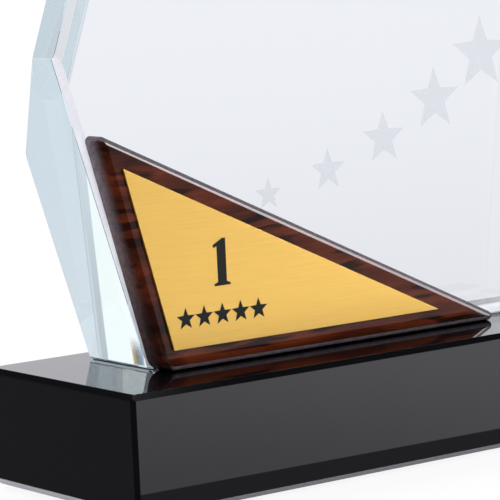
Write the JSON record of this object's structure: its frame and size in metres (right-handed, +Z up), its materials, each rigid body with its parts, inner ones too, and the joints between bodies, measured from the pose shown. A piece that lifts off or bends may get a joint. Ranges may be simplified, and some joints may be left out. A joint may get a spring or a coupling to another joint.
{
  "type": "glass award trophy",
  "caption": "Free-standing faceted clear glass award on a black glass base, with a lacquered wood corner plaque carrying a gold plate.",
  "frame": {"origin": "on the table under the middle of the base", "axes": "+Z up, +X along the base to the viewer's right, -Y towards the front with the plaque"},
  "size_m": [0.16, 0.06, 0.1816],
  "materials": {
    "felt": "matte felt",
    "black_glass": "polished opaque black glass",
    "glue": "cured glue over black glass",
    "clear_glass": "polished clear glass",
    "tape": "amber double-sided tape",
    "lacquered_wood": "high-gloss lacquer over dark red-brown wood",
    "film": "adhesive film",
    "gold": "brushed gold"
  },
  "bodies": {
    "root": {"base_pad": "felt", "base_block": "black_glass", "glass_bond": "glue", "glass_plate": "clear_glass", "plaque_tape": "tape", "wood_plaque": "lacquered_wood", "plate_film": "film", "gold_plate": "gold"}
  },
  "joints": []
}
